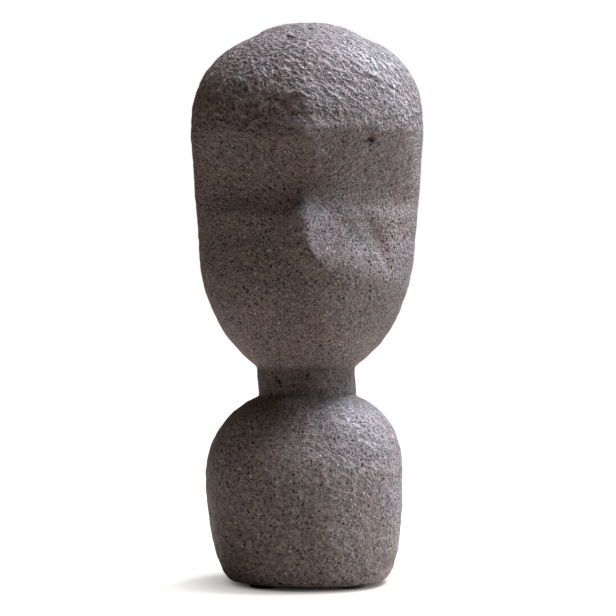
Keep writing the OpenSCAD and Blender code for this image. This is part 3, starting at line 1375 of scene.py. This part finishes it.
    def zones(self, points: Array) -> Array:
        """How strongly each point was pecked with the point of the chisel.

        Args:
            points: Points of the skin.

        Returns:
            Full on the dome above the brow, less on the crown and the bust, least on the face.
        """
        m = self.marks
        z = points[:, 2] + m.edge_wander[0] * self.noise.smooth(points, m.edge_wander[1])
        dome = ease(self.brow_z + m.dome_edge[0], self.brow_z + m.dome_edge[1], z)
        crown = ease(self.crown_z + m.crown_edge[0], self.crown_z + m.crown_edge[1], z)
        bust = 1.0 - ease(self.shoulder_z, self.chin_z, z)
        patch = m.peck_patch[0] + m.peck_patch[1] * self.noise.smooth(points, m.peck_patch_size)
        pecked = m.face_pecks + m.dome_pecks * dome - m.crown_loss * crown + m.bust_pecks * bust
        return np.clip(pecked * patch, 0.0, 1.0)

    def stroked(self, points: Array) -> Array:
        """How plainly the chisel's strokes show.

        Args:
            points: Points of the skin.

        Returns:
            Full between the crease and the brow, and faint elsewhere.
        """
        m, z = self.marks, points[:, 2]
        band = ease(self.crease_z + m.stroke_low[0], self.crease_z + m.stroke_low[1], z)
        top = ease(self.brow_z + m.stroke_high[0], self.brow_z + m.stroke_high[1], z)
        return m.faint_strokes + (1.0 - m.faint_strokes) * (band * (1.0 - top))

    def in_front(self, points: Array) -> Array:
        """1 on the front of the block, falling to 0 at its middle."""
        return ease(0.0, self.front_depth, -points[:, 1])

    def polish_and_highlight(self, points: Array) -> Array:
        """How polished each point is by touch, and how strongly a pale highlight is painted there.

        Args:
            points: Points of the skin.

        Returns:
            A bell in x and z about the nose's tip, made ragged by noise, on the front only.
        """
        m = self.marks
        ragged = m.shine_patch[0] + m.shine_patch[1] * self.noise.smooth(points, m.shine_patch_size)
        across = (points[:, 0] - m.shine_at[0]) / m.shine_reach[0]
        up = (points[:, 2] - m.shine_at[1]) / m.shine_reach[1]
        return np.clip(ragged * np.exp(-(across**2) - up**2), 0.0, 1.0) * self.in_front(points)

    def neck_shade_share(self, points: Array) -> Array:
        """How much shade is painted at each point.

        Args:
            points: Points of the skin.

        Returns:
            Uneven patches round the neck between its two ends, and none elsewhere.
        """
        m = self.marks
        z = points[:, 2] + m.painted_neck_shade_wander[0] * self.noise.smooth(points, m.painted_neck_shade_wander[1])
        low = ease(self.shoulder_z + m.painted_neck_shade_low[0], self.shoulder_z + m.painted_neck_shade_low[1], z)
        high = 1.0 - ease(self.chin_z + m.painted_neck_shade_high[0], self.chin_z + m.painted_neck_shade_high[1], z)
        patch = 1.0 + m.painted_neck_shade_patch * self.noise.smooth(points, m.painted_neck_shade_patch_size)
        return np.clip(m.painted_neck_shade * low * high * patch, 0.0, 1.0)

    def cutting(self, points: Array, pecked: Array) -> Array:
        """How far the tools cut each point in from the plain skin, or left it proud if below 0.

        Args:
            points: Points of the plain skin.
            pecked: The pecking at each point.

        Returns:
            Broad waves left by the hand, lumps, pecks as bowls round cell centres that are drawn
            out along the tool's way, grit, the fold beside the nose and the pits, each of which
            is a bell exp(-a^1.5) over a = (x / a)^2 + (z / b)^2 along its slant.
        """
        m = self.marks

        def lumps(height: float, size: float, octaves: int) -> Array:
            """Noise from 0 to height."""
            return height * (0.5 - 0.5 * np.clip(self.noise.rough(points, size, octaves), -1, 1))

        slant = math.radians(m.peck_slant)
        way = np.array([math.cos(slant), 0.0, math.sin(slant)])
        drawn = points - np.outer((points @ way) * (1.0 - 1.0 / m.peck_stretch), way)
        bowl = np.clip(self.noise.cells(drawn, m.peck_sizes[0]), 0, 1)
        fine_bowl = np.clip(self.noise.cells(drawn + 1.0, m.peck_sizes[1]), 0, 1)
        peck = m.peck * pecked * (1.0 - m.peck_shares[0] * bowl - m.peck_shares[1] * fine_bowl)
        depth = lumps(m.wave, m.wave_size, 3) + lumps(m.lump, m.lump_size, 3) + peck
        depth = depth + lumps(m.grit, m.grit_size, 1)
        front = self.in_front(points)
        depth += self.fold_cut(points) * front
        for pit in self.pits:
            dx, dz = points[:, 0] - pit.x, points[:, 2] - pit.z
            along = dx * math.cos(pit.slant) + dz * math.sin(pit.slant)
            across = dz * math.cos(pit.slant) - dx * math.sin(pit.slant)
            away = (along / pit.half_width) ** 2 + (across / pit.half_height) ** 2
            depth += pit.depth * np.exp(-(away**1.5)) * front
        return depth

    def fold_cut(self, points: Array) -> Array:
        """Depth of the fold over the right cheek.

        Args:
            points: Points of the skin.

        Returns:
            A bell across the straight line between the fold's ends, less a lower bell for the
            lip on the nose's side, both fading out at the ends.
        """
        f = self.fold
        start, end = np.array(f.start), np.array(f.end)
        line = end - start
        flat = points[:, [0, 2]] - start
        along = (flat @ line) / (line @ line)
        across = (flat[:, 0] * -line[1] + flat[:, 1] * line[0]) / np.linalg.norm(line)
        across = across + f.wander[0] * self.noise.smooth(points, f.wander[1])
        down = ease(*f.narrows, along)
        width = mix(*f.width, down)
        ends = ease(*f.comes, along) * (1.0 - ease(*f.goes, along))
        groove = np.exp(-((across / width) ** 2))
        lip = down * np.exp(-(((across + 2.0 * f.width[1]) / f.width[1]) ** 2))
        return (f.depth * groove - f.lip * lip) * ends

    def build(self) -> bpy.types.Object:
        """Makes the block's skin and stores the masks that its material reads.

        Returns:
            The piece, with the poles closed.
        """
        turn, z = np.meshgrid(self.turns(), self.levels())
        turn = self.follow_ridge(turn, z)
        wall = self.skin(turn.ravel(), z.ravel()).reshape(*z.shape, 3)
        foot = np.array([0.0, self.axis_y, self.foot_z])
        shares = ((np.arange(self.foot_rings) + 1) / (self.foot_rings + 1))[:, None, None]
        grid = np.concatenate([foot + (wall[0] - foot) * shares, wall])
        points = grid.reshape(-1, 3)
        pecked = self.zones(points)
        flat = np.repeat(np.arange(len(grid)) < self.foot_rings, self.columns)
        depth = np.where(flat, 0.0, self.cutting(points, pecked))
        cut = grid - grid_normals(grid) * depth.reshape(len(grid), self.columns, 1)
        cut[: self.foot_rings, :, 2] = self.foot_z
        cut[..., 2] = np.maximum(cut[..., 2], self.foot_z)
        crown_z = self.crown_z - float(depth[-self.columns :].mean())
        crown = np.array([self.crown_shift, self.axis_y, crown_z])
        piece = skin_mesh("stone_block", cut, foot, crown, way_up(foot, grid[:, 0], crown))
        # painted shade in the deeper cuts
        hollow = np.clip((depth - np.median(depth)) / self.marks.hollow_shade_depth, 0.0, 1.0)
        stroked = self.stroked(points)
        # polish and painted highlight on the nose's tip
        point_value(piece, "polish_and_highlight", self.polish_and_highlight(points), (0.0, 0.0))
        point_value(piece, "stroked", stroked, (stroked[0], stroked[-1]))
        point_value(piece, "pecked", pecked, self.marks.pole_pecks)
        point_value(piece, "hollow", hollow, (0.0, 0.0))
        # painted shade round the neck
        point_value(piece, "neck_shade_share", self.neck_shade_share(points), (0.0, 0.0))
        return piece

    def holes(self) -> tuple[Pit, ...]:
        """The mouths of the smaller pits, where shade is painted.

        Returns:
            Pits of a share of the size, for those above the bust's widest level that are small
            enough to look black inside.
        """
        share = self.hole_share
        return tuple(
            Pit(pit.x, pit.z, pit.half_width * share, pit.half_height * share, pit.depth)
            for pit in self.pits
            if pit.half_height < self.hole_height and pit.z > self.bust_z
        )

    def dress(self, piece: bpy.types.Object, finish: StoneFinish) -> None:
        """Gives the block its finish and puts it in the place of the frame's plain solid.

        Args:
            piece: The block's skin.
            finish: Its stone.
        """
        piece.data.materials.append(finish.material())
        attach(piece, BODY)
        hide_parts("carved_stone")


# --------------------------------------------------------------------------------------------
# The pads
# --------------------------------------------------------------------------------------------


@dataclass
class FeltPad:
    """One self-adhesive pad: a turned disc of felt with a soft rim."""

    place: Place
    columns: int = 96
    rim_round: float = 0.35 * MM
    rim_rings: int = 7
    face_rings: int = 6
    first_ring: float = 0.15
    fuzz: float = 0.12 * MM
    fuzz_size: float = 1.2 * MM
    fuzz_from: float = 0.9
    seed: int = 7

    def build(self) -> bpy.types.Object:
        """Makes the disc.

        Returns:
            A surface of revolution: a flat face, a quarter-circle edge, the wall and the same
            again above, with its rim pulled in by noise where the felt was punched.
        """
        low, high = (np.array(corner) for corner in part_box(f"felt_pad_{self.place.value}"))
        centre = (low + high) / 2.0
        radius = (high[0] - low[0]) / 2.0
        edge = np.linspace(0.0, math.pi / 2.0, self.rim_rings)
        flat = np.linspace(self.first_ring, 1.0, self.face_rings, endpoint=False)
        flat = flat * (radius - self.rim_round)
        out = radius - self.rim_round + self.rim_round * np.sin(edge)
        up = self.rim_round * (1.0 - np.cos(edge))
        ring_r = np.concatenate([flat, out, out[::-1], flat[::-1]])
        below, above = (np.full(self.face_rings, level) for level in (low[2], high[2]))
        ring_z = np.concatenate([below, low[2] + up, high[2] - up[::-1], above])
        turn = 2.0 * math.pi * np.arange(self.columns) / self.columns
        grid = np.stack([
            centre[0] + ring_r[:, None] * np.cos(turn),
            centre[1] + ring_r[:, None] * np.sin(turn),
            np.repeat(ring_z[:, None], self.columns, axis=1),
        ], axis=2)
        noise = Lattice(self.seed + list(Place).index(self.place))
        rim = ease(radius * self.fuzz_from, radius, ring_r)[:, None]
        rough = np.clip(noise.rough(grid.reshape(-1, 3), self.fuzz_size, 2), -1, 1)
        pull = self.fuzz * (0.5 - 0.5 * rough)
        share = 1.0 - pull.reshape(grid.shape[:2]) * rim / radius
        grid[..., :2] = centre[:2] + (grid[..., :2] - centre[:2]) * share[..., None]
        foot = np.array([centre[0], centre[1], low[2]])
        crown = np.array([centre[0], centre[1], high[2]])
        height = way_up(foot, grid[:, 0], crown)
        return skin_mesh(f"felt_{self.place.value}", grid, foot, crown, height)

    def dress(self, piece: bpy.types.Object, felt: bpy.types.Material) -> None:
        """Gives the pad its felt and puts it in the place of the frame's plain disc.

        Args:
            piece: The disc.
            felt: Its material.
        """
        piece.data.materials.append(felt)
        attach(piece, BODY)
        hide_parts(f"felt_pad_{self.place.value}")


@dataclass
class AdhesiveFilm:
    """The film that holds one pad, which is the frame's own solid."""

    place: Place

    def dress(self, film: bpy.types.Material) -> bpy.types.Object:
        """Gives the film its finish.

        Args:
            film: Its material.

        Returns:
            The frame's solid.
        """
        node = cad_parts[f"adhesive_film_{self.place.value}"]
        if not node.material_slots:
            node.data.materials.append(film)
        for slot in node.material_slots:
            slot.material = film
        return node


# --------------------------------------------------------------------------------------------
# The studio
# --------------------------------------------------------------------------------------------


@dataclass(frozen=True)
class Beam:
    """A broad, even beam of light, as from a large window.

    The turn is counted in degrees from the camera's side towards +X and the rise from the floor.
    The light is the colour of a white matt card that squarely faces it, and the spread is the
    window's width in degrees as the figure sees it.
    """

    name: str
    turn: float
    rise: float
    light: tuple[float, float, float]
    spread: float

    def hang(self) -> None:
        """Adds the beam to the scene."""
        strength = max(self.light)
        data = bpy.data.lights.new(self.name, "SUN")
        data.energy = strength * math.pi
        data.color = [part / strength for part in self.light]
        data.angle = math.radians(self.spread)
        lamp = bpy.data.objects.new(self.name, data)
        bpy.context.scene.collection.objects.link(lamp)
        turn, rise = math.radians(self.turn), math.radians(self.rise)
        flat = math.cos(rise)
        way = Vector((flat * math.sin(turn), -flat * math.cos(turn), math.sin(rise)))
        lamp.location = way
        lamp.rotation_euler = (-way).to_track_quat("-Z", "Y").to_euler()


@dataclass
class Studio:
    """Floor, backdrop, lights and camera."""

    camera_side: float = 0.00036
    camera_away: float = 1.25
    camera_height: float = 0.213
    aim_height: float = 0.1955
    lens: float = 102.2
    sensor: float = 36.0
    floor_size: float = 14.0
    beams: tuple[Beam, ...] = (
        Beam("low window", 95.0, 14.0, (0.62, 0.64, 0.71), 20.0),
        Beam("high window", 98.0, 68.0, (1.80, 1.80, 2.02), 22.0),
        Beam("back window", 138.0, 40.0, (0.72, 0.80, 0.96), 18.0),
    )
    room_light: tuple[float, float, float] = (0.066, 0.042, 0.024)
    backdrop_light: tuple[float, float, float] = (1.0, 1.0, 1.0)
    floor_near: tuple[float, float, float] = (0.42, 0.34, 0.28)
    floor_far: tuple[float, float, float] = (0.10, 0.08, 0.07)
    near_reach: float = 0.25
    far_reach: float = 0.90
    floor_glow: float = 0.96
    floor_roughness: float = 0.9
    floor_specular: float = 0.1
    contact: float = 0.04

    def shoot_from(self) -> None:
        """Sets the camera, a little above the figure's middle and in front of its face."""
        data = bpy.data.cameras.new("camera")
        data.lens = self.lens
        data.sensor_width = self.sensor
        camera = bpy.data.objects.new("camera", data)
        bpy.context.scene.collection.objects.link(camera)
        camera.location = (self.camera_side, -self.camera_away, self.camera_height)
        self.aim(camera, Vector((self.camera_side, 0.0, self.aim_height)))
        bpy.context.scene.camera = camera

    @staticmethod
    def aim(thing: bpy.types.Object, target: Vector) -> None:
        """Turns a camera or a light to look at a point."""
        way = target - thing.location
        thing.rotation_euler = way.to_track_quat("-Z", "Y").to_euler()

    def light_up(self) -> None:
        """Hangs the beams and lights the room, which is dim and warm but white to the camera."""
        for beam in self.beams:
            beam.hang()
        world = bpy.data.worlds.new("studio")
        bpy.context.scene.world = world
        world.use_nodes = True
        world.node_tree.nodes.clear()
        graph = Graph(world.node_tree)
        room, backdrop = (
            graph.feed(graph.node("ShaderNodeBackground"), {"Color": (*light, 1.0)})
            for light in (self.room_light, self.backdrop_light)
        )
        shown = self.by_camera(graph, room.outputs[0], backdrop.outputs[0])
        graph.feed(graph.node("ShaderNodeOutputWorld"), {"Surface": shown})

    @staticmethod
    def by_camera(graph: Graph, lit: Socket, seen: Socket) -> Socket:
        """Picks a shader by ray: lit for the light that bounces, seen for the camera."""
        ray = graph.node("ShaderNodeLightPath").outputs["Is Camera Ray"]
        return graph.feed(graph.node("ShaderNodeMixShader"), {0: ray, 1: lit, 2: seen}).outputs[0]

    def lay_floor(self) -> None:
        """Lays a plain pale floor, which the camera sees as nearly white with a soft shadow.
        Its colour fades from pale near the figure to dark far off, a painted pool of light for the
        bounce, and near the figure its glow is dimmed by ambient occlusion, a painted contact shadow.
        """
        half = self.floor_size / 2.0
        mesh = bpy.data.meshes.new("floor")
        corners = [(-half, -half, 0.0), (half, -half, 0.0), (half, half, 0.0), (-half, half, 0.0)]
        mesh.from_pydata(corners, [], [(0, 1, 2, 3)])
        floor = bpy.data.objects.new("floor", mesh)
        bpy.context.scene.collection.objects.link(floor)
        graph = MaterialGraph("pale floor")
        away = graph.vector_math("LENGTH", graph.place, output="Value")
        # painted pool of light: pale near the figure, dark far off
        near = graph.span(away, self.far_reach, self.near_reach)
        paper = graph.feed(graph.shader, {
            "Base Color": graph.blend(near, (*self.floor_far, 1.0), (*self.floor_near, 1.0)),
            "Roughness": self.floor_roughness,
            "Specular IOR Level": self.floor_specular,
        })
        # painted contact shadow: the glow is dimmed where the figure is near
        shade = graph.node("ShaderNodeAmbientOcclusion", samples=8)
        open_sky = graph.feed(shade, {"Distance": self.contact}).outputs["AO"]
        glow = graph.node("ShaderNodeEmission")
        graph.feed(glow, {"Strength": graph.times(open_sky, self.floor_glow)})
        both = graph.node("ShaderNodeAddShader")
        graph.feed(both, {0: paper.outputs[0], 1: glow.outputs[0]})
        shown = self.by_camera(graph, paper.outputs[0], both.outputs[0])
        graph.feed(graph.tree.nodes["Material Output"], {"Surface": shown})
        mesh.materials.append(graph.material)

    def set_up(self) -> None:
        """Sets up the whole studio."""
        bpy.context.scene.view_settings.view_transform = "Standard"
        self.shoot_from()
        self.light_up()
        self.lay_floor()


def main() -> None:
    """Builds the studio and the figure."""
    logging.basicConfig(level=logging.INFO, format="%(name)s: %(message)s")
    Studio().set_up()
    stone = CarvedStone()
    block = stone.build()
    stone.dress(block, StoneFinish(hole_marks=stone.holes()))
    log.info("%s: %d faces", block.name, len(block.data.polygons))
    felt = FeltFinish().material()
    film = AdhesiveFinish().material()
    for place in Place:
        pad = FeltPad(place)
        disc = pad.build()
        pad.dress(disc, felt)
        sheet = AdhesiveFilm(place).dress(film)
        for piece in (disc, sheet):
            log.info("%s: %d faces", piece.name, len(piece.data.polygons))


if __name__ == "__main__":
    main()
